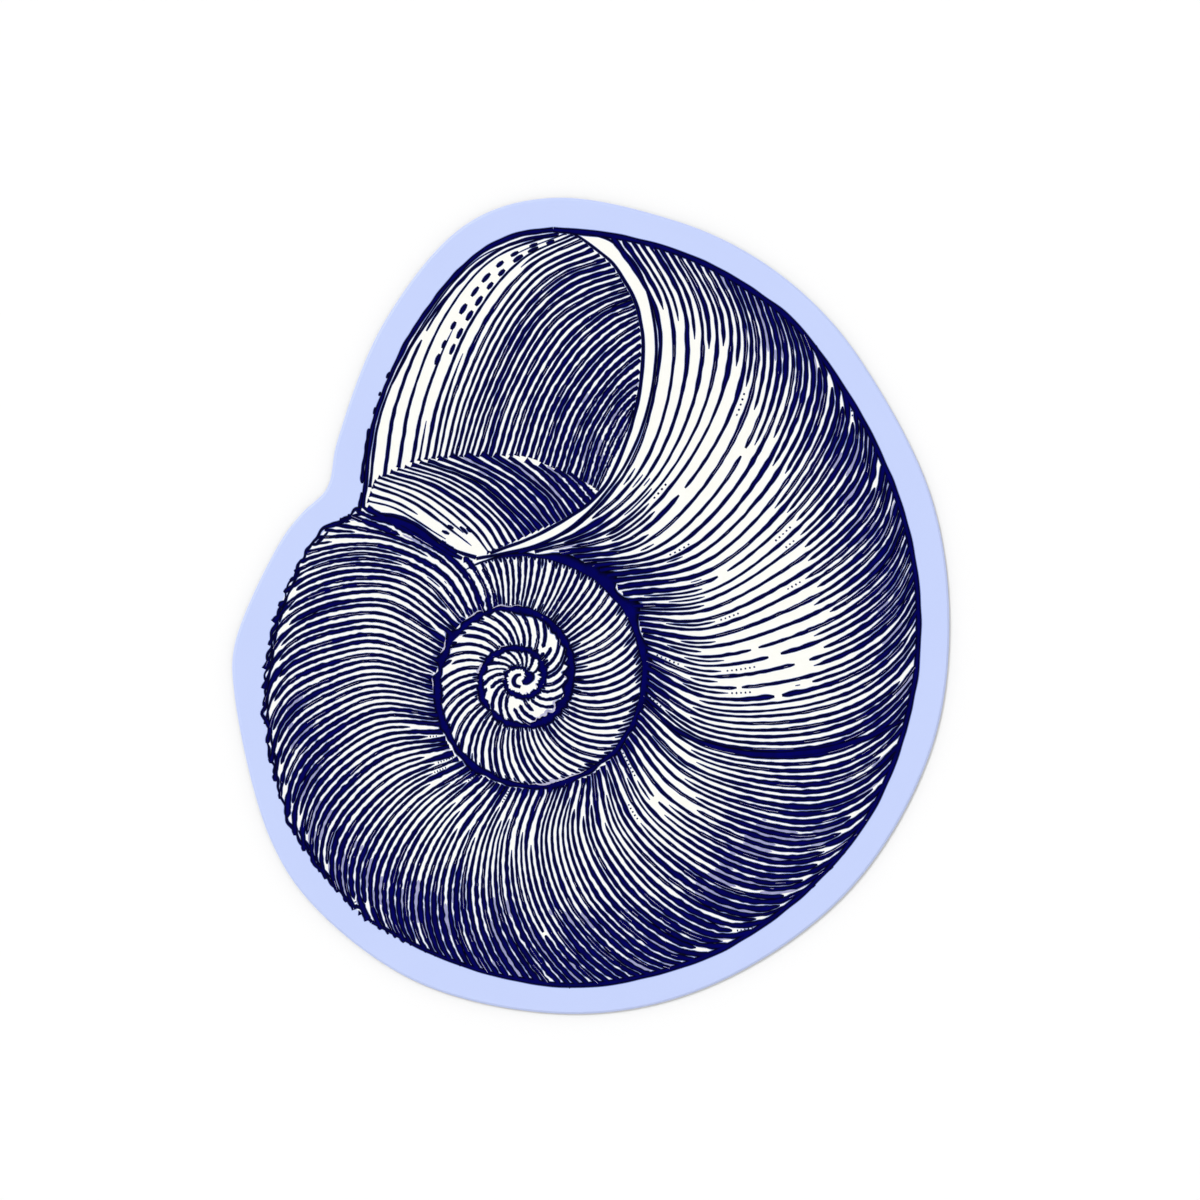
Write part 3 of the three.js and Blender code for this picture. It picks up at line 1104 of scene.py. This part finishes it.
def make_floor():
    half = FLOOR_HALF * MM
    below = -FLOOR_DROP * MM
    mesh = bpy.data.meshes.new("floor")
    corners = [(-half, -half, below), (half, -half, below), (half, half, below), (-half, half, below)]
    mesh.from_pydata(corners, [], [(0, 1, 2, 3)])
    mesh.materials.append(plain_material("white_floor", FLOOR_WHITE, roughness=0.9, specular=0.0)[0])
    floor = bpy.data.objects.new("floor", mesh)
    bpy.context.scene.collection.objects.link(floor)


def make_camera():
    data = bpy.data.cameras.new("camera")
    data.lens = LENS
    data.sensor_width = SENSOR
    data.clip_start = VIEW_NEAREST * MM
    camera = bpy.data.objects.new("camera", data)
    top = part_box("vinyl_face")[1].z
    x, y = VIEW_CENTRE
    camera.location = (x * MM, y * MM, top + VIEW_WIDTH * LENS / SENSOR * MM)
    bpy.context.scene.collection.objects.link(camera)
    bpy.context.scene.camera = camera


def make_key():
    data = bpy.data.lights.new("key", "SUN")
    data.energy = KEY_STRENGTH
    data.angle = math.radians(KEY_SPREAD)
    key = bpy.data.objects.new("key", data)
    key.rotation_euler = Vector(KEY_FROM).to_track_quat("Z", "Y").to_euler()
    bpy.context.scene.collection.objects.link(key)


def make_sky():
    """A soft surround, brightest low down and dimmest straight above."""
    world = bpy.data.worlds.new("studio")
    world.use_nodes = True
    nodes, links = world.node_tree.nodes, world.node_tree.links
    direction = nodes.new("ShaderNodeTexCoord")
    parts = nodes.new("ShaderNodeSeparateXYZ")
    links.new(direction.outputs["Generated"], parts.inputs["Vector"])
    level = nodes.new("ShaderNodeValToRGB")
    stops = level.color_ramp.elements
    while len(stops) < len(SKY_LEVELS):
        stops.new(1.0)
    for (place, value), stop in zip(SKY_LEVELS, stops):
        stop.position = place
        stop.color = (value / SKY_BRIGHTEST,) * 3 + (1,)
    links.new(parts.outputs["Z"], level.inputs["Fac"])
    links.new(level.outputs["Color"], nodes["Background"].inputs["Color"])
    nodes["Background"].inputs["Strength"].default_value = SKY_BRIGHTEST
    bpy.context.scene.world = world
    bpy.context.scene.view_settings.view_transform = "Standard"


ring = finer_ring(cut_line("vinyl_face"), OUTLINE_STEPS)
# The cut sides' dark grey is partly painted shade round the sticker's foot
edge = mottled_material("cut_side_and_shade")
film_piece(ring, edge)
paper_piece(ring, edge)
print_pieces()
make_floor()
make_camera()
make_key()
make_sky()
